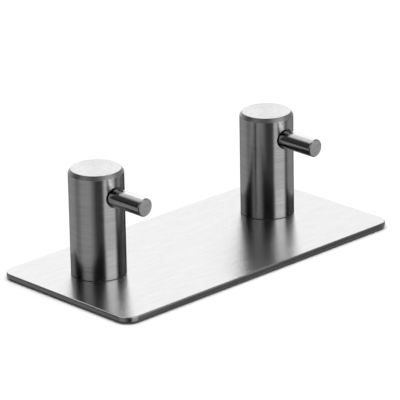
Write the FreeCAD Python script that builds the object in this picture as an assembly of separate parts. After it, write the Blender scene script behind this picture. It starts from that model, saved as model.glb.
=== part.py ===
import FreeCAD, Part
import math
import os

# A double wall hook in brushed stainless steel, lying on its back.
# A thin plate is bonded to the wall. Two round posts stand on it, and each carries
# a small peg near its free end that keeps a hung loop from sliding off.
# Frame, in millimetres: the origin is under the middle of the plate, on the wall
# side of the release liners. +X is the plate's long side, +Z points out of the
# wall along the posts, and the pegs point to -Y, which is up on the wall.

# Back plate
PLATE_LENGTH = 100.0
PLATE_WIDTH = 50.0
PLATE_THICKNESS = 1.5
PLATE_CORNER_R = 4.0
PLATE_EDGE_BREAK = 0.2

# Double-sided acrylic tape behind the plate, one piece behind each post, and its release liners
TAPE_THICKNESS = 0.4
LINER_THICKNESS = 0.1
TAPE_SETBACK = 1.5
TAPE_SPACING = 3.0
TAPE_CORNER_R = 2.5
TAPE_WINDOW_D = 11.0

# Posts
POST_D = 15.0
POST_HEIGHT = 29.5
POST_PITCH = 64.0
POST_Y = 5.5
POST_TOP_CHAMFER_WIDTH = 0.7
POST_TOP_CHAMFER_HEIGHT = 1.1
POST_FOOT_BREAK = 0.15

# Pegs, pressed into blind cross bores in the posts
PEG_D = 5.0
PEG_HEIGHT = 23.0
PEG_REACH = 11.5
PEG_SEAT_DEPTH = 9.0
PEG_END_CHAMFER = 0.3
PEG_RELIEF_WIDTH = 0.4
PEG_RELIEF_DEPTH = 1.6

# M4 x 8 countersunk screws with a cross recess, driven from behind the plate
SCREW_D = 3.9
SCREW_LENGTH = 8.0
SCREW_HEAD_D = 7.5
SCREW_HEAD_RIM = 0.45
SCREW_HEAD_SINK = 0.05
SCREW_TIP_CHAMFER = 0.4
THREAD_PITCH = 0.7
THREAD_DEPTH = 0.43
THREAD_CREST = 0.1
RECESS_D = 4.2
RECESS_ARM = 1.0
RECESS_DEPTH = 1.9
RECESS_FLOOR_D = 1.4

# Holes for the screws
TAPPED_HOLE_D = 4.1
TAPPED_HOLE_DEPTH = 9.0
TAPPED_HOLE_MOUTH_D = 6.0
DRILL_POINT_HALF_ANGLE = 59.0

# Heights that follow from the sizes above
PLATE_BACK_Z = LINER_THICKNESS + TAPE_THICKNESS
PLATE_FACE_Z = PLATE_BACK_Z + PLATE_THICKNESS
PEG_Z = PLATE_FACE_Z + PEG_HEIGHT
SCREW_BACK_Z = PLATE_BACK_Z + SCREW_HEAD_SINK

POST_X = {"left": -POST_PITCH / 2, "right": POST_PITCH / 2}
UP = FreeCAD.Vector(0, 0, 1)
PEG_DIRECTION = FreeCAD.Vector(0, -1, 0)
OVERSHOOT = 1.0


def turned(outline, centre, axis=UP):
    """A solid of revolution about `axis` through `centre`, from (radius, height) points."""
    points = [FreeCAD.Vector(radius, 0, height) for radius, height in outline]
    face = Part.Face(Part.makePolygon(points + points[:1]))
    solid = face.revolve(FreeCAD.Vector(0, 0, 0), UP, 360)
    turn = FreeCAD.Rotation(UP, axis)
    solid.Placement = FreeCAD.Placement(centre, turn)
    return solid


def rounded_slab(x_range, y_range, z, thickness, corner_r):
    """A flat slab with its four upright edges rounded."""
    corner = FreeCAD.Vector(x_range[0], y_range[0], z)
    slab = Part.makeBox(x_range[1] - x_range[0], y_range[1] - y_range[0], thickness, corner)
    upright = [e for e in slab.Edges if abs(e.tangentAt(e.FirstParameter).z) > 0.5]
    return slab.makeFillet(corner_r, upright)


def drill_point(radius):
    """The height of the cone that a drill leaves at the bottom of a hole."""
    return radius / math.tan(math.radians(DRILL_POINT_HALF_ANGLE))


def back_plate():
    """The sheet, its edges broken, with a countersunk screw hole behind each post."""
    half_length = PLATE_LENGTH / 2
    half_width = PLATE_WIDTH / 2
    plate = rounded_slab(
        (-half_length, half_length),
        (-half_width, half_width),
        PLATE_BACK_Z,
        PLATE_THICKNESS,
        PLATE_CORNER_R,
    )
    rims = [e for e in plate.Edges if abs(e.tangentAt(e.FirstParameter).z) < 0.5]
    plate = plate.makeChamfer(PLATE_EDGE_BREAK, rims)
    for x in POST_X.values():
        plate = plate.cut(countersink(x))
    return plate


def countersink(x):
    """The right-angled cone through the plate in which the screw's head sits."""
    seat_r = SCREW_HEAD_D / 2
    back_r = seat_r + SCREW_HEAD_RIM + SCREW_HEAD_SINK
    face_r = back_r - PLATE_THICKNESS
    outline = [
        (0, -OVERSHOOT),
        (back_r + OVERSHOOT, -OVERSHOOT),
        (face_r - OVERSHOOT, PLATE_THICKNESS + OVERSHOOT),
        (0, PLATE_THICKNESS + OVERSHOOT),
    ]
    return turned(outline, FreeCAD.Vector(x, POST_Y, PLATE_BACK_Z))


def post(x):
    """A solid round bar with a chamfered top, a tapped foot and a cross bore."""
    radius = POST_D / 2
    outline = [
        (0, 0),
        (radius - POST_FOOT_BREAK, 0),
        (radius, POST_FOOT_BREAK),
        (radius, POST_HEIGHT - POST_TOP_CHAMFER_HEIGHT),
        (radius - POST_TOP_CHAMFER_WIDTH, POST_HEIGHT),
        (0, POST_HEIGHT),
    ]
    bar = turned(outline, FreeCAD.Vector(x, POST_Y, PLATE_FACE_Z))
    return bar.cut(tapped_hole(x)).cut(peg_bore(x))


def tapped_hole(x):
    """The screw's blind hole at the thread's outer diameter, with a countersunk mouth."""
    radius = TAPPED_HOLE_D / 2
    mouth_r = TAPPED_HOLE_MOUTH_D / 2
    outline = [
        (0, -OVERSHOOT),
        (mouth_r + OVERSHOOT, -OVERSHOOT),
        (radius, mouth_r - radius),
        (radius, TAPPED_HOLE_DEPTH),
        (0, TAPPED_HOLE_DEPTH + drill_point(radius)),
    ]
    return turned(outline, FreeCAD.Vector(x, POST_Y, PLATE_FACE_Z))


def peg_bore(x):
    """The peg's blind bore, with a relief that leaves a thin open ring at its mouth."""
    radius = PEG_D / 2
    relief_r = radius + PEG_RELIEF_WIDTH
    relief_floor = POST_D / 2 - PEG_RELIEF_DEPTH
    bore_floor = POST_D / 2 - PEG_SEAT_DEPTH
    outline = [
        (0, bore_floor - drill_point(radius)),
        (radius, bore_floor),
        (radius, relief_floor),
        (relief_r, relief_floor),
        (relief_r, POST_D / 2 + OVERSHOOT),
        (0, POST_D / 2 + OVERSHOOT),
    ]
    return turned(outline, FreeCAD.Vector(x, POST_Y, PEG_Z), PEG_DIRECTION)


def peg(x):
    """A round pin with both ends chamfered, seated at the bottom of its bore."""
    radius = PEG_D / 2
    inner = POST_D / 2 - PEG_SEAT_DEPTH
    outer = POST_D / 2 + PEG_REACH
    outline = [
        (0, inner),
        (radius - PEG_END_CHAMFER, inner),
        (radius, inner + PEG_END_CHAMFER),
        (radius, outer - PEG_END_CHAMFER),
        (radius - PEG_END_CHAMFER, outer),
        (0, outer),
    ]
    return turned(outline, FreeCAD.Vector(x, POST_Y, PEG_Z), PEG_DIRECTION)


def thread_groove(start, length):
    """The V-shaped helical groove between the screw's threads, from `start` upwards."""
    crest_r = SCREW_D / 2
    root_r = crest_r - THREAD_DEPTH
    mouth = (THREAD_PITCH - THREAD_CREST) / 2
    outer_r = crest_r + THREAD_CREST
    flare = mouth * (outer_r - root_r) / THREAD_DEPTH
    points = [
        FreeCAD.Vector(root_r, 0, 0),
        FreeCAD.Vector(outer_r, 0, -flare),
        FreeCAD.Vector(outer_r, 0, flare),
    ]
    profile = Part.makePolygon(points + points[:1])
    helix = Part.makeHelix(THREAD_PITCH, length, crest_r)
    groove = Part.Wire(helix.Edges).makePipeShell([profile], True, True)
    groove.translate(FreeCAD.Vector(0, 0, start))
    return groove


def cross_recess():
    """The driver's cross in the head: two crossed slots inside a tapering cone."""
    cone = turned(
        [
            (0, -OVERSHOOT),
            (RECESS_D / 2, -OVERSHOOT),
            (RECESS_D / 2, 0),
            (RECESS_FLOOR_D / 2, RECESS_DEPTH),
            (0, RECESS_DEPTH),
        ],
        FreeCAD.Vector(0, 0, 0),
    )
    height = RECESS_DEPTH + 2 * OVERSHOOT
    half_d = RECESS_D / 2
    half_arm = RECESS_ARM / 2
    along_x = Part.makeBox(
        RECESS_D, RECESS_ARM, height, FreeCAD.Vector(-half_d, -half_arm, -OVERSHOOT)
    )
    along_y = Part.makeBox(
        RECESS_ARM, RECESS_D, height, FreeCAD.Vector(-half_arm, -half_d, -OVERSHOOT)
    )
    return along_x.fuse(along_y).common(cone)


def post_screw(x):
    """The screw, its head in the plate's countersink and its thread in the post."""
    head_r = SCREW_HEAD_D / 2
    shank_r = SCREW_D / 2
    cone_end = SCREW_HEAD_RIM + head_r - shank_r
    outline = [
        (0, 0),
        (head_r, 0),
        (head_r, SCREW_HEAD_RIM),
        (shank_r, cone_end),
        (shank_r, SCREW_LENGTH - SCREW_TIP_CHAMFER),
        (shank_r - SCREW_TIP_CHAMFER, SCREW_LENGTH),
        (0, SCREW_LENGTH),
    ]
    screw = turned(outline, FreeCAD.Vector(0, 0, 0))
    thread_start = cone_end + THREAD_PITCH / 2
    screw = screw.cut(thread_groove(thread_start, SCREW_LENGTH - thread_start + THREAD_PITCH))
    screw = screw.cut(cross_recess())
    screw.translate(FreeCAD.Vector(x, POST_Y, SCREW_BACK_Z))
    return screw


def backing_sheet(side, z, thickness):
    """One side's tape or liner: a rounded sheet with a window round the screw's head."""
    inner = TAPE_SPACING / 2
    outer = PLATE_LENGTH / 2 - TAPE_SETBACK
    half_width = PLATE_WIDTH / 2 - TAPE_SETBACK
    x_range = (inner, outer) if side == "right" else (-outer, -inner)
    sheet = rounded_slab(x_range, (-half_width, half_width), z, thickness, TAPE_CORNER_R)
    window = Part.makeCylinder(
        TAPE_WINDOW_D / 2,
        thickness + 2 * OVERSHOOT,
        FreeCAD.Vector(POST_X[side], POST_Y, z - OVERSHOOT),
    )
    return sheet.cut(window)


def nodes():
    """Every piece by name."""
    pieces = {"back_plate": back_plate()}
    for side, x in POST_X.items():
        pieces[side + "_post"] = post(x)
        pieces[side + "_peg"] = peg(x)
        pieces[side + "_post_screw"] = post_screw(x)
        pieces[side + "_adhesive_tape"] = backing_sheet(side, LINER_THICKNESS, TAPE_THICKNESS)
        pieces[side + "_release_liner"] = backing_sheet(side, 0, LINER_THICKNESS)
    return pieces


os.makedirs("parts", exist_ok=True)
for name, shape in nodes().items():
    print(name, shape.isValid(), len(shape.Solids), round(shape.Volume, 2), "mm3")
    shape.exportStep("parts/" + name + ".step")
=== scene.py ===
import math

import bmesh
import bpy
from mathutils import Matrix, Vector


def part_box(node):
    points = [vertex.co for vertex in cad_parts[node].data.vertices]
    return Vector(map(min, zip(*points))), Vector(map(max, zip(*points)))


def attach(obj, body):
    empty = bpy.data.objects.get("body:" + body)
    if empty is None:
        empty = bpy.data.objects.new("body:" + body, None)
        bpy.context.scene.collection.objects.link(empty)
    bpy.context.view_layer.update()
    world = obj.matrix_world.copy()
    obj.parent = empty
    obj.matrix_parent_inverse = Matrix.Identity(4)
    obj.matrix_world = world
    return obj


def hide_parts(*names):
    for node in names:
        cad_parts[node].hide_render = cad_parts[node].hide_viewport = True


# The looks of a double wall hook in brushed stainless steel: a thin plate with two
# turned posts, each with a small peg. All lengths are in metres, in the CAD frame.

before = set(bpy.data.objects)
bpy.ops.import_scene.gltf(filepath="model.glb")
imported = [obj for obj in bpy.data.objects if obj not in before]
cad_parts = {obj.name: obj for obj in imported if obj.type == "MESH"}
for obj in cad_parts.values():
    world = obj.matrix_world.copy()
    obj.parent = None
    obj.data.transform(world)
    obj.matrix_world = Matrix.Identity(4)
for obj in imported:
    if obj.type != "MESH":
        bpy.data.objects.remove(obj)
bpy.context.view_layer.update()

MM = 0.001
SIDES = ("left", "right")
ROOT = "root"
UP = Vector((0, 0, 1))
PEG_DIRECTION = Vector((0, -1, 0))

# Edges, holes and bores, as the CAD pieces have them
PLATE_CORNER_R = 4.0 * MM
PLATE_EDGE_BREAK = 0.2 * MM
COUNTERSINK_BACK_D = 8.5 * MM
POST_TOP_CHAMFER_WIDTH = 0.7 * MM
POST_TOP_CHAMFER_HEIGHT = 1.1 * MM
POST_FOOT_BREAK = 0.15 * MM
PEG_END_CHAMFER = 0.3 * MM
PEG_RELIEF_WIDTH = 0.4 * MM
PEG_RELIEF_DEPTH = 1.6 * MM
TAPPED_HOLE_D = 4.1 * MM
TAPPED_HOLE_DEPTH = 9.0 * MM
TAPPED_HOLE_MOUTH_D = 6.0 * MM
DRILL_POINT_HALF_ANGLE = math.radians(59.0)

# Details that only these pieces have
PLATE_EDGE_ROUNDING = 0.3 * MM
POST_EDGE_ROUNDING = 0.05 * MM
PEG_EDGE_ROUNDING = 0.04 * MM
CENTRE_MARK_R = 0.28 * MM
CENTRE_MARK_DEPTH = 0.16 * MM

# Meshes
SEGMENTS = 144
CORNER_SEGMENTS = 24
ROUNDING_STEPS = 4
SUPPORT = 0.03 * MM  # from a rounding to the support point beside it
FLAT_CORNER_R = 0.5 * MM  # corners of the single face that closes each side of the plate
CUT_OVERSHOOT = 1.0 * MM  # how far a cutter stands out of the piece that it cuts
WELD_DISTANCE = 0.002 * MM
WALL_TOLERANCE = 0.02 * MM  # how far a point of the outer wall may be from the post's radius
SHARP_ANGLE = math.radians(35.0)

# How far a face leans: 0 is a wall along its piece's axis, and 1 an end square to it
TRUE_WALL_LEAN = 0.001
POST_WALL_LEAN = 0.1
PLATE_EDGE_LEAN = 0.5
PEG_WALL_LEAN = 0.8
POST_CHAMFER_LEAN = 0.9
END_LEAN = 0.9
ANY_LEAN = 1.01

# Procedural grain
NOISE_LOW = 0.3  # most of a noise lies between these two
NOISE_HIGH = 0.7
BUMP_HEIGHT = 0.02 * MM
BROAD_MARKS = 0.3  # broad marks for each fine one
MARK_HARSHNESS = 0.65  # how strongly the smallest marks show
SCREW_GRAIN = 0.4 * MM
MARK_SWING = 0.02  # how far the roughness varies, here and below
SCREW_SWING = 0.04
FILM_SWING = 0.05


# ---------------------------------------------------------------- meshes


def new_piece(name, mesh_data):
    """A new object holding the bmesh, linked to the scene."""
    mesh = bpy.data.meshes.new(name)
    mesh_data.to_mesh(mesh)
    mesh_data.free()
    piece = bpy.data.objects.new(name, mesh)
    bpy.context.scene.collection.objects.link(piece)
    return piece


def rounded_path(points, radius):
    """The path with its inner corners rounded, and a support point on each side of an arc."""
    path = [Vector(points[0])]
    for before, corner, after in zip(points, points[1:], points[2:]):
        corner = Vector(corner)
        inward = (Vector(before) - corner).normalized()
        outward = (Vector(after) - corner).normalized()
        half_angle = inward.angle(outward) / 2
        reach = radius / math.tan(half_angle)
        start = corner + inward * reach
        end = corner + outward * reach
        centre = corner + (inward + outward).normalized() * (radius / math.sin(half_angle))
        sweep = (start - centre).angle_signed(end - centre)
        path.append(start + inward * SUPPORT)
        for step in range(ROUNDING_STEPS + 1):
            turn = Matrix.Rotation(-sweep * step / ROUNDING_STEPS, 2)
            path.append(centre + turn @ (start - centre))
        path.append(end + outward * SUPPORT)
    path.append(Vector(points[-1]))
    return path


def join_rings(data, rings):
    """Faces between neighbouring rings of vertices; a ring of one vertex closes to a point."""
    for low, high in zip(rings, rings[1:]):
        count = max(len(low), len(high))
        for i in range(count):
            j = (i + 1) % count
            corners = (
                low[i % len(low)],
                low[j % len(low)],
                high[j % len(high)],
                high[i % len(high)],
            )
            data.faces.new(list(dict.fromkeys(corners)))


def turned(name, path, origin, axis):
    """A piece turned about `axis` through `origin`, from a path of (radius, height)."""
    data = bmesh.new()
    rings = []
    for radius, height in path:
        count = SEGMENTS if radius > 0 else 1
        angles = [2 * math.pi * i / SEGMENTS for i in range(count)]
        places = [(radius * math.cos(a), radius * math.sin(a), height) for a in angles]
        rings.append([data.verts.new(place) for place in places])
    join_rings(data, rings)
    bmesh.ops.recalc_face_normals(data, faces=data.faces)
    turn = UP.rotation_difference(axis).to_matrix().to_4x4()
    data.transform(Matrix.Translation(origin) @ turn)
    return new_piece(name, data)


def rounded_rectangle(half_x, half_y, radius):
    """The corner points of a rounded rectangle about the origin, anticlockwise."""
    points = []
    for quarter, (sx, sy) in enumerate(((1, 1), (-1, 1), (-1, -1), (1, -1))):
        centre_x = sx * (half_x - radius)
        centre_y = sy * (half_y - radius)
        for step in range(CORNER_SEGMENTS + 1):
            angle = math.pi / 2 * (quarter + step / CORNER_SEGMENTS)
            x = centre_x + radius * math.cos(angle)
            y = centre_y + radius * math.sin(angle)
            points.append((x, y))
    return points


def slab(name, half_x, half_y, corner_r, path):
    """A rounded slab, from a path of (inset, height) that runs from its underside to its face."""
    data = bmesh.new()
    rings = []
    for inset, height in path:
        outline = rounded_rectangle(half_x - inset, half_y - inset, corner_r - inset)
        rings.append([data.verts.new((x, y, height)) for x, y in outline])
    join_rings(data, rings)
    data.faces.new(rings[0])
    data.faces.new(rings[-1])
    bmesh.ops.recalc_face_normals(data, faces=data.faces)
    return new_piece(name, data)


def cut(piece, cutter):
    """Takes the cutter out of the piece and removes the cutter."""
    modifier = piece.modifiers.new("cut", "BOOLEAN")
    modifier.operation = "DIFFERENCE"
    modifier.solver = "EXACT"
    modifier.object = cutter
    graph = bpy.context.evaluated_depsgraph_get()
    mesh = bpy.data.meshes.new_from_object(piece.evaluated_get(graph), depsgraph=graph)
    mesh.name = piece.data.name
    weld(mesh)
    piece.modifiers.clear()
    piece.data = mesh
    bpy.data.objects.remove(cutter)


def weld(mesh):
    """Merges points that a cut leaves almost on top of each other."""
    data = bmesh.new()
    data.from_mesh(mesh)
    bmesh.ops.remove_doubles(data, verts=data.verts, dist=WELD_DISTANCE)
    bmesh.ops.dissolve_degenerate(data, edges=data.edges, dist=WELD_DISTANCE)
    data.to_mesh(mesh)
    data.free()


def shade(piece):
    """Smooth shading that breaks at sharp edges."""
    mesh = piece.data
    mesh.shade_smooth()
    mesh.set_sharp_from_angle(angle=SHARP_ANGLE)


def radial(place, origin, axis):
    """The part of `place` that points away from the axis."""
    offset = place - origin
    return offset - axis * offset.dot(axis)


def true_wall_normals(piece, origin, axis, radius):
    """Gives the outer wall the normals of a true cylinder, so that cuts in it don't show."""
    mesh = piece.data
    normals = [Vector(n.vector) for n in mesh.corner_normals]
    for face in mesh.polygons:
        if abs(face.normal.dot(axis)) > TRUE_WALL_LEAN:
            continue
        outs = [radial(mesh.vertices[i].co, origin, axis) for i in face.vertices]
        if all(abs(out.length - radius) < WALL_TOLERANCE for out in outs):
            for loop, out in zip(face.loop_indices, outs):
                normals[loop] = out.normalized()
    mesh.normals_split_custom_set(normals)


def straight_marks(place):
    """Marks along X: the place along, above and across them, and the direction across."""
    return (place.x, place.z, place.y), (0, 1, 0)


def turned_marks(place, face, origin, axis):
    """Rings about the axis: the place round them and across them, and the direction across,
    which is along the axis on a wall and away from it on an end."""
    out = radial(place, origin, axis)
    side = axis.orthogonal().normalized()
    around = (out.dot(side), out.dot(axis.cross(side)))
    if abs(face.normal.dot(axis)) <= END_LEAN:
        return (*around, (place - origin).dot(axis)), axis
    away = out if out.length > SUPPORT else radial(face.center, origin, axis)
    return (*around, out.length), away.normalized()


def add_grain(piece, origin=None, axis=None):
    """Stores how the tool marks run, for the materials: `grain` is the place among them and
    `across` is the direction across them. Without an axis the marks run along X."""
    mesh = piece.data
    grain = mesh.attributes.new("grain", "FLOAT_VECTOR", "CORNER")
    across = mesh.attributes.new("across", "FLOAT_VECTOR", "CORNER")
    for face in mesh.polygons:
        for loop, vertex in zip(face.loop_indices, face.vertices):
            place = mesh.vertices[vertex].co
            if axis is None:
                marks = straight_marks(place)
            else:
                marks = turned_marks(place, face, origin, axis)
            grain.data[loop].vector, across.data[loop].vector = marks


def paint(piece, axis, *finishes):
    """Gives each face the first finish that allows its lean towards `axis`. A finish is a
    material and the most that a face may lean to have it."""
    mesh = piece.data
    mesh.materials.clear()
    for material, _ in finishes:
        mesh.materials.append(material)
    for face in mesh.polygons:
        lean = abs(face.normal.dot(axis))
        face.material_index = next(i for i, (_, limit) in enumerate(finishes) if lean <= limit)


# ---------------------------------------------------------------- materials


class Tree:
    """A short way to add nodes to a material's or world's node tree."""

    def __init__(self, tree):
        self.tree = tree
        tree.nodes.clear()

    def add(self, kind, inputs=None, **settings):
        node = self.tree.nodes.new(kind)
        for key, value in settings.items():
            setattr(node, key, value)
        for key, value in (inputs or {}).items():
            if isinstance(value, bpy.types.NodeSocket):
                self.tree.links.new(value, node.inputs[key])
            else:
                node.inputs[key].default_value = value
        return node

    def math(self, operation, a, b=0.0):
        return self.add("ShaderNodeMath", {0: a, 1: b}, operation=operation).outputs[0]

    def sum(self, values):
        total = values[0]
        for value in values[1:]:
            total = self.math("ADD", total, value)
        return total

    def mix(self, factor, a, b):
        """`a` where the factor is 0 and `b` where it is 1."""
        values = {"Factor": factor, 2: a, 3: b}
        return self.add("ShaderNodeMix", values, data_type="FLOAT").outputs[0]

    def remap(self, value, low, high, to_low, to_high, smooth=False):
        values = {
            "Value": value,
            "From Min": low,
            "From Max": high,
            "To Min": to_low,
            "To Max": to_high,
        }
        kind = "SMOOTHSTEP" if smooth else "LINEAR"
        return self.add("ShaderNodeMapRange", values, interpolation_type=kind).outputs[0]

    def noise(self, vector, scale, detail=3.0, roughness=0.5):
        scaled = self.add("ShaderNodeVectorMath", {0: vector, 1: scale}, operation="MULTIPLY")
        values = {
            "Vector": scaled.outputs[0],
            "Scale": 1.0,
            "Detail": detail,
            "Roughness": roughness,
        }
        return self.add("ShaderNodeTexNoise", values).outputs[0]

    def spread(self, noise, low, high):
        """Stretches a noise, so that most of it lies between low and high."""
        return self.remap(noise, NOISE_LOW, NOISE_HIGH, low, high)

    def grey(self, level):
        return self.add("ShaderNodeCombineColor", {0: level, 1: level, 2: level}).outputs[0]

    def bump(self, height, strength, distance, normal=None):
        values = {"Strength": strength, "Distance": distance, "Height": height}
        if normal is not None:
            values["Normal"] = normal
        return self.add("ShaderNodeBump", values).outputs[0]

    def surface(self, values):
        """Ends a material with a principled shader."""
        shader = self.add("ShaderNodeBsdfPrincipled", values)
        self.add("ShaderNodeOutputMaterial", {"Surface": shader.outputs[0]})


def new_material(name):
    material = bpy.data.materials.new(name)
    material.use_nodes = True
    return material, Tree(material.node_tree)


def machined_steel(
    name, grey, roughness, anisotropy, pitch, length, depth, mottle=0.03, broad_depth=0.0
):
    """Stainless steel with fine tool marks. `pitch` and `length` are the size of a mark across
    and along it, `depth` is how strongly the fine marks break the reflections, `broad_depth`
    is the height of the broad marks, and `mottle` is how much the grey varies."""
    material, tree = new_material(name)
    grain = tree.add("ShaderNodeAttribute", attribute_name="grain").outputs["Vector"]
    across = tree.add("ShaderNodeAttribute", attribute_name="across").outputs["Vector"]
    along = 1 / length
    fine_scale = (along, along, 1 / pitch)
    broad_scale = (along, along, BROAD_MARKS / pitch)
    marks = tree.noise(grain, fine_scale, roughness=MARK_HARSHNESS)
    bands = tree.noise(grain, broad_scale, detail=4.0, roughness=MARK_HARSHNESS)
    fine = tree.spread(marks, -mottle, mottle)
    broad = tree.spread(bands, -mottle, mottle)
    level = tree.math("ADD", tree.math("ADD", fine, broad), grey)
    colour = tree.grey(level)
    rough = tree.math("ADD", tree.spread(marks, -MARK_SWING, MARK_SWING), roughness)
    normal = tree.bump(marks, depth, BUMP_HEIGHT)
    if broad_depth:
        normal = tree.bump(bands, 1.0, broad_depth, normal)
    tree.surface(
        {
            "Base Color": colour,
            "Metallic": 1.0,
            "Roughness": rough,
            "Anisotropic": anisotropy,
            "Tangent": across,
            "Normal": normal,
        }
    )
    return material


def plain_steel(name, dark, light, roughness):
    """Bright steel with a fine even grain, for a CAD node, which has no tool mark attributes."""
    material, tree = new_material(name)
    place = tree.add("ShaderNodeTexCoord").outputs["Object"]
    grains = tree.noise(place, (1 / SCREW_GRAIN,) * 3)
    colour = tree.grey(tree.spread(grains, dark, light))
    rough = tree.spread(grains, roughness - SCREW_SWING, roughness + SCREW_SWING)
    normal = tree.bump(grains, 0.1, BUMP_HEIGHT)
    tree.surface({"Base Color": colour, "Metallic": 1.0, "Roughness": rough, "Normal": normal})
    return material


def soft_film(name, dark, light, roughness, grain_scale, bump_strength):
    """A dull backing layer with a fine grain, for the tape and its liner. `grain_scale` is how
    many grains there are in a metre."""
    material, tree = new_material(name)
    place = tree.add("ShaderNodeTexCoord").outputs["Object"]
    grains = tree.noise(place, (grain_scale,) * 3)
    blend = tree.add("ShaderNodeMix", {"Factor": grains, "A": dark, "B": light}, data_type="RGBA")
    normal = tree.bump(grains, bump_strength, BUMP_HEIGHT)
    rough = tree.spread(grains, roughness - FILM_SWING, roughness + FILM_SWING)
    tree.surface({"Base Color": blend.outputs[2], "Roughness": rough, "Normal": normal})
    return material


# ---------------------------------------------------------------- pieces


def size_of(node):
    """A CAD node's lowest corner, highest corner and centre."""
    low, high = (Vector(corner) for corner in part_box(node))
    return low, high, (low + high) / 2


def drill_point(radius):
    """The depth of the cone that a drill leaves below a hole."""
    return radius / math.tan(DRILL_POINT_HALF_ANGLE)


def make_plate(face, edge):
    """The plate, with softly rounded edges and a countersunk hole below each post."""
    low, high, _ = size_of("back_plate")
    inner = PLATE_CORNER_R - FLAT_CORNER_R
    path = rounded_path(
        [
            (inner, low.z),
            (PLATE_EDGE_BREAK, low.z),
            (0, low.z + PLATE_EDGE_BREAK),
            (0, high.z - PLATE_EDGE_BREAK),
            (PLATE_EDGE_BREAK, high.z),
            (inner, high.z),
        ],
        PLATE_EDGE_ROUNDING,
    )
    half_x = (high.x - low.x) / 2
    half_y = (high.y - low.y) / 2
    plate = slab("back_plate_brushed", half_x, half_y, PLATE_CORNER_R, path)
    for side in SIDES:
        cut_countersink(plate, side, low.z, high.z - low.z)
    shade(plate)
    add_grain(plate)
    paint(plate, UP, (edge, PLATE_EDGE_LEAN), (face, ANY_LEAN))
    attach(plate, ROOT)
    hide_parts("back_plate")


def cut_countersink(plate, side, back, thickness):
    """A right-angled cone from the plate's back through its face, on the screw's axis."""
    post_centre = size_of(side + "_post")[2]
    screw_centre = size_of(side + "_post_screw")[2]
    back_r = COUNTERSINK_BACK_D / 2
    cone = [
        (0, -CUT_OVERSHOOT),
        (back_r + CUT_OVERSHOOT, -CUT_OVERSHOOT),
        (back_r - thickness - CUT_OVERSHOOT, thickness + CUT_OVERSHOOT),
        (0, thickness + CUT_OVERSHOOT),
    ]
    foot = Vector((post_centre.x, screw_centre.y, back))
    cut(plate, turned("countersink", cone, foot, UP))


def make_post(side, wall, chamfer, end):
    """A post with a chamfered top, the tapped hole for its screw and the bore for its peg."""
    node = side + "_post"
    low, high, _ = size_of(node)
    radius = (high.x - low.x) / 2
    height = high.z - low.z
    foot = Vector((low.x + radius, low.y + radius, low.z))
    path = rounded_path(
        [
            (0, 0),
            (radius - POST_FOOT_BREAK, 0),
            (radius, POST_FOOT_BREAK),
            (radius, height - POST_TOP_CHAMFER_HEIGHT),
            (radius - POST_TOP_CHAMFER_WIDTH, height),
            (0, height),
        ],
        POST_EDGE_ROUNDING,
    )
    post = turned(node + "_turned", path, foot, UP)
    cut_tapped_hole(post, foot)
    cut_peg_bore(post, side, foot, radius)
    shade(post)
    true_wall_normals(post, foot, UP, radius)
    add_grain(post, foot, UP)
    paint(post, UP, (wall, POST_WALL_LEAN), (chamfer, POST_CHAMFER_LEAN), (end, ANY_LEAN))
    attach(post, ROOT)
    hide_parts(node)


def cut_tapped_hole(post, foot):
    """The hole for the screw's thread, with a flared mouth and a drill point."""
    hole_r = TAPPED_HOLE_D / 2
    mouth_r = TAPPED_HOLE_MOUTH_D / 2
    hole = [
        (0, -CUT_OVERSHOOT),
        (mouth_r + CUT_OVERSHOOT, -CUT_OVERSHOOT),
        (hole_r, mouth_r - hole_r),
        (hole_r, TAPPED_HOLE_DEPTH),
        (0, TAPPED_HOLE_DEPTH + drill_point(hole_r)),
    ]
    cut(post, turned("tapped_hole", hole, foot, UP))


def cut_peg_bore(post, side, foot, post_r):
    """The cross bore that the peg sits in, and the wider relief round the peg's root."""
    peg_low, peg_high, peg_centre = size_of(side + "_peg")
    peg_r = (peg_high.x - peg_low.x) / 2
    relief_r = peg_r + PEG_RELIEF_WIDTH
    relief_floor = post_r - PEG_RELIEF_DEPTH
    bore_floor = foot.y - peg_high.y
    bore = [
        (0, bore_floor - drill_point(peg_r)),
        (peg_r, bore_floor),
        (peg_r, relief_floor),
        (relief_r, relief_floor),
        (relief_r, post_r + CUT_OVERSHOOT),
        (0, post_r + CUT_OVERSHOOT),
    ]
    origin = Vector((foot.x, foot.y, peg_centre.z))
    cut(post, turned("peg_bore", bore, origin, PEG_DIRECTION))


def make_peg(side, wall, end):
    """A peg with chamfered ends and a small centre mark in the free one."""
    node = side + "_peg"
    low, high, centre = size_of(node)
    radius = (high.x - low.x) / 2
    length = high.y - low.y
    root = Vector((centre.x, high.y, centre.z))
    path = rounded_path(
        [
            (0, 0),
            (radius - PEG_END_CHAMFER, 0),
            (radius, PEG_END_CHAMFER),
            (radius, length - PEG_END_CHAMFER),
            (radius - PEG_END_CHAMFER, length),
            (CENTRE_MARK_R, length),
            (0, length - CENTRE_MARK_DEPTH),
        ],
        PEG_EDGE_ROUNDING,
    )
    peg = turned(node + "_turned", path, root, PEG_DIRECTION)
    shade(peg)
    add_grain(peg, root, PEG_DIRECTION)
    paint(peg, PEG_DIRECTION, (wall, PEG_WALL_LEAN), (end, ANY_LEAN))
    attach(peg, ROOT)
    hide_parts(node)


def finish_cad_nodes(ending, material):
    """Gives the carried-over CAD nodes with this ending, one for each side, their material."""
    for side in SIDES:
        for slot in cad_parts[side + ending].material_slots:
            slot.material = material


# ---------------------------------------------------------------- studio

CAMERA_AZIMUTH = -43.76
CAMERA_ELEVATION = 20.3
CAMERA_ROLL = -1.06
CAMERA_DISTANCE = 0.8599
CAMERA_TARGET = Vector((0, 0, 15 * MM))
CAMERA_MOVE_RIGHT = 0.47 * MM  # fine framing
CAMERA_MOVE_UP = 0.12 * MM
CAMERA_LENS = 285.0
CAMERA_NEAR = 0.01
CAMERA_FAR = 20.0

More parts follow.
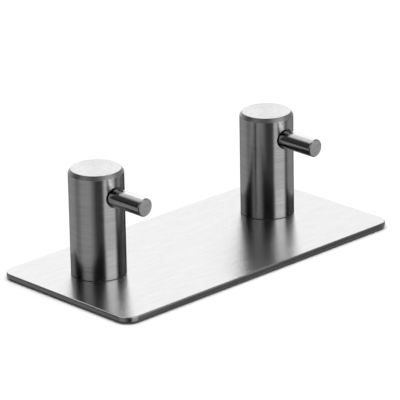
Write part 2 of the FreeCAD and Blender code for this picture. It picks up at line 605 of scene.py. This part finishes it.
# The studio, as the steel sees it: (azimuth, half width, soft edge), then (lowest elevation,
# highest elevation, soft edge), in degrees, and a brightness. Azimuths follow the camera's:
# 0 is in front of the long side that the pegs point to.
SOFT_BOXES = (
    ((180, 10, 30), (1, 24, 12), 0.41),  # foot of the sweep
    ((13, 17, 14), (1, 20, 16), 1.52),  # tall key box, mirrored near the posts' feet
    ((17, 22, 10), (30, 52, 12), 0.26),  # its upper part
    ((12, 22, 8), (-50, -7, 5), 0.50),  # its glow on the table
    ((-88, 10, 20), (1, 26, 14), 0.35),  # left fill
    ((-90, 14, 36), (-50, -7, 5), 0.27),  # its glow on the table
    ((84, 12, 20), (1, 34, 12), 0.10),  # right fill
    ((80, 16, 24), (-50, -7, 5), 0.24),  # its glow on the table
    ((192, 16, 38), (-32, -7, 5), 0.27),  # far side of the table
    ((0, 180, 1), (76, 90, 20), 0.25),  # ceiling
)
# The rest of the room. Steel that faces steel doesn't see it, so the feet of the posts, their
# reflections in the plate and the undersides of the pegs stay dark.
OPEN_ROOM = (
    ((178, 30, 25), (60, 66, 26), 1.08),  # back top, on the upper side of the pegs
    ((136, 14, 28), (6, 30, 24), 1.34),  # back sweep, mirrored in the plate
    ((152, 2, 22), (6, 30, 24), 0.18),  # makes it brighter towards the left
    ((0, 104, 26), (6, 32, 10), 0.18),  # near wall, from the left round to the right
    ((0, 180, 1), (10, 90, 10), 0.035),  # faint light from all round
    ((125, 130, 30), (52, 90, 12), 0.31),  # upper wall, all round but the near left
)
TABLE_EDGE = (-7.0, -2.0)  # the elevations between which the table fades out
TABLE_SHADE = 0.045
BACKDROP = 1.0  # what the camera sees past the floor
FILL = 0.05  # what lights the floor and the backing, apart from the top light
FIRST_REFLECTION_DEPTH = 2.5  # between the world's ray depths after one reflection and after two
FLOOR_GAP = 0.03 * MM  # keeps the floor clear of the liners' undersides
FLOOR_HALF_SIZE = 3.0
FLOOR_FIBRE_SCALE = 400.0
FLOOR_DARK = 0.925
FLOOR_LIGHT = 0.935
TOP_LIGHT_STRENGTH = 3.35
TOP_LIGHT_ANGLE = 70.0


def make_camera():
    """The camera, to the near left and a little above, with a long lens."""
    azimuth = math.radians(CAMERA_AZIMUTH)
    elevation = math.radians(CAMERA_ELEVATION)
    back = Vector(
        (
            math.sin(azimuth) * math.cos(elevation),
            -math.cos(azimuth) * math.cos(elevation),
            math.sin(elevation),
        )
    )
    level = (-back).cross(UP).normalized()
    turn = Matrix.Rotation(math.radians(CAMERA_ROLL), 3, back)
    right = turn @ level
    up = back.cross(right)
    offset = right * CAMERA_MOVE_RIGHT + up * CAMERA_MOVE_UP
    place = CAMERA_TARGET + offset + back * CAMERA_DISTANCE
    data = bpy.data.cameras.new("camera")
    data.lens = CAMERA_LENS
    data.clip_start = CAMERA_NEAR
    data.clip_end = CAMERA_FAR
    camera = bpy.data.objects.new("camera", data)
    camera.matrix_world = Matrix.Translation(place) @ Matrix((right, up, back)).transposed().to_4x4()
    bpy.context.scene.collection.objects.link(camera)
    bpy.context.scene.camera = camera


def make_floor():
    """A plain pale floor. The steel reflects the studio's lower half and not the floor."""
    data = bmesh.new()
    bmesh.ops.create_grid(data, x_segments=1, y_segments=1, size=FLOOR_HALF_SIZE)
    bmesh.ops.translate(data, verts=data.verts, vec=(0, 0, -FLOOR_GAP))
    floor = new_piece("floor", data)
    material, tree = new_material("floor_paper")
    place = tree.add("ShaderNodeTexCoord").outputs["Object"]
    fibres = tree.noise(place, (FLOOR_FIBRE_SCALE,) * 3)
    colour = tree.grey(tree.spread(fibres, FLOOR_DARK, FLOOR_LIGHT))
    tree.surface({"Base Color": colour, "Roughness": 0.9, "Specular IOR Level": 0.0})
    floor.data.materials.append(material)
    floor.visible_glossy = False


def window(tree, value, low, high, edge):
    """1 while the value is between low and high, fading to 0 over the soft edge on each side."""
    rise = tree.remap(value, low - edge, low, 0.0, 1.0, smooth=True)
    fall = tree.remap(value, high, high + edge, 1.0, 0.0, smooth=True)
    return tree.math("MULTIPLY", rise, fall)


def soft_box(tree, azimuth, elevation, box):
    """The brightness of one soft box in the direction that the world is asked for."""
    (centre, half_width, side_edge), (lowest, highest, edge), brightness = box
    offset = tree.math("SUBTRACT", azimuth, centre)
    values = {0: offset, 1: 180.0, 2: -180.0}
    wrapped = tree.add("ShaderNodeMath", values, operation="WRAP").outputs[0]
    across = window(tree, wrapped, -half_width, half_width, side_edge)
    up = window(tree, elevation, lowest, highest, edge)
    return tree.math("MULTIPLY", tree.math("MULTIPLY", across, up), brightness)


def look_direction(tree):
    """The azimuth and elevation, in degrees, that the world is asked for."""
    direction = tree.add("ShaderNodeTexCoord").outputs["Generated"]
    x, y, z = tree.add("ShaderNodeSeparateXYZ", {0: direction}).outputs
    turn = tree.math("ARCTAN2", x, tree.math("MULTIPLY", y, -1.0))
    azimuth = tree.add("ShaderNodeMath", {0: turn}, operation="DEGREES").outputs[0]
    rise = tree.math("ARCSINE", z)
    elevation = tree.add("ShaderNodeMath", {0: rise}, operation="DEGREES").outputs[0]
    return azimuth, elevation


def make_world():
    """A white studio: soft boxes for the steel's reflections and an even fill for the rest."""
    world = bpy.data.worlds.new("studio")
    world.use_nodes = True
    bpy.context.scene.world = world
    # Each ray meets the world by its own kind and depth, so the world isn't sampled as a light
    world.cycles.sampling_method = "NONE"
    tree = Tree(world.node_tree)
    azimuth, elevation = look_direction(tree)
    rays = tree.add("ShaderNodeLightPath").outputs
    first = tree.math("LESS_THAN", rays["Ray Depth"], FIRST_REFLECTION_DEPTH)
    table = tree.remap(elevation, *TABLE_EDGE, TABLE_SHADE, 0.0, smooth=True)
    boxes = tree.sum([soft_box(tree, azimuth, elevation, box) for box in SOFT_BOXES])
    room = tree.sum([soft_box(tree, azimuth, elevation, box) for box in OPEN_ROOM])
    reflected = tree.sum([table, boxes, tree.math("MULTIPLY", room, first)])
    direct = tree.mix(rays["Is Camera Ray"], FILL, BACKDROP)
    strength = tree.mix(rays["Is Glossy Ray"], direct, reflected)
    background = tree.add("ShaderNodeBackground", {"Color": (1, 1, 1, 1), "Strength": strength})
    tree.add("ShaderNodeOutputWorld", {"Surface": background.outputs[0]})


def make_top_light():
    """A wide soft light overhead. It lights the floor and the backing; the steel sees the world."""
    data = bpy.data.lights.new("top_light", "SUN")
    data.energy = TOP_LIGHT_STRENGTH
    data.angle = math.radians(TOP_LIGHT_ANGLE)
    light = bpy.data.objects.new("top_light", data)
    light.visible_glossy = False
    bpy.context.scene.collection.objects.link(light)


# ---------------------------------------------------------------- the scene

bpy.context.scene.view_settings.view_transform = "Standard"

plate_face = machined_steel(
    "plate_face",
    grey=0.64,
    roughness=0.24,
    anisotropy=0.8,
    pitch=0.30 * MM,
    length=4 * MM,
    depth=0.25,
    mottle=0.022,
    broad_depth=0.04 * MM,
)
# The plate's edges are the same steel as its face. Their grey, darker than the face's, is painted
# shade for the dark surroundings that the edges face; their grain and roughness are their own.
plate_edge = machined_steel(
    "plate_edge",
    grey=0.42,
    roughness=0.20,
    anisotropy=0.0,
    pitch=0.30 * MM,
    length=12 * MM,
    depth=0.04,
    mottle=0.02,
)
post_wall = machined_steel(
    "post_wall",
    grey=0.62,
    roughness=0.20,
    anisotropy=0.4,
    pitch=0.30 * MM,
    length=9 * MM,
    depth=0.04,
    mottle=0.04,
)
post_end = machined_steel(
    "post_end",
    grey=0.545,
    roughness=0.26,
    anisotropy=0.4,
    pitch=0.40 * MM,
    length=2 * MM,
    depth=0.20,
    mottle=0.05,
    broad_depth=0.012 * MM,
)
post_chamfer = machined_steel(
    "post_chamfer",
    grey=0.46,
    roughness=0.34,
    anisotropy=0.0,
    pitch=0.30 * MM,
    length=5 * MM,
    depth=0.06,
    mottle=0.04,
)
peg_wall = machined_steel(
    "peg_wall",
    grey=0.64,
    roughness=0.14,
    anisotropy=0.3,
    pitch=0.25 * MM,
    length=4 * MM,
    depth=0.04,
)
peg_end = machined_steel(
    "peg_end",
    grey=0.58,
    roughness=0.55,
    anisotropy=0.2,
    pitch=0.25 * MM,
    length=2 * MM,
    depth=0.35,
    mottle=0.10,
)
screw_steel = plain_steel("screw_steel", dark=0.58, light=0.66, roughness=0.28)
tape = soft_film(
    "tape_acrylic",
    dark=(0.05, 0.05, 0.05, 1),
    light=(0.09, 0.09, 0.09, 1),
    roughness=0.7,
    grain_scale=6000.0,
    bump_strength=0.4,
)
liner = soft_film(
    "liner_film",
    dark=(0.80, 0.79, 0.76, 1),
    light=(0.88, 0.87, 0.84, 1),
    roughness=0.5,
    grain_scale=1500.0,
    bump_strength=0.1,
)

make_plate(plate_face, plate_edge)
for side in SIDES:
    make_post(side, post_wall, post_chamfer, post_end)
    make_peg(side, peg_wall, peg_end)
finish_cad_nodes("_post_screw", screw_steel)
finish_cad_nodes("_adhesive_tape", tape)
finish_cad_nodes("_release_liner", liner)

make_floor()
make_world()
make_top_light()
make_camera()
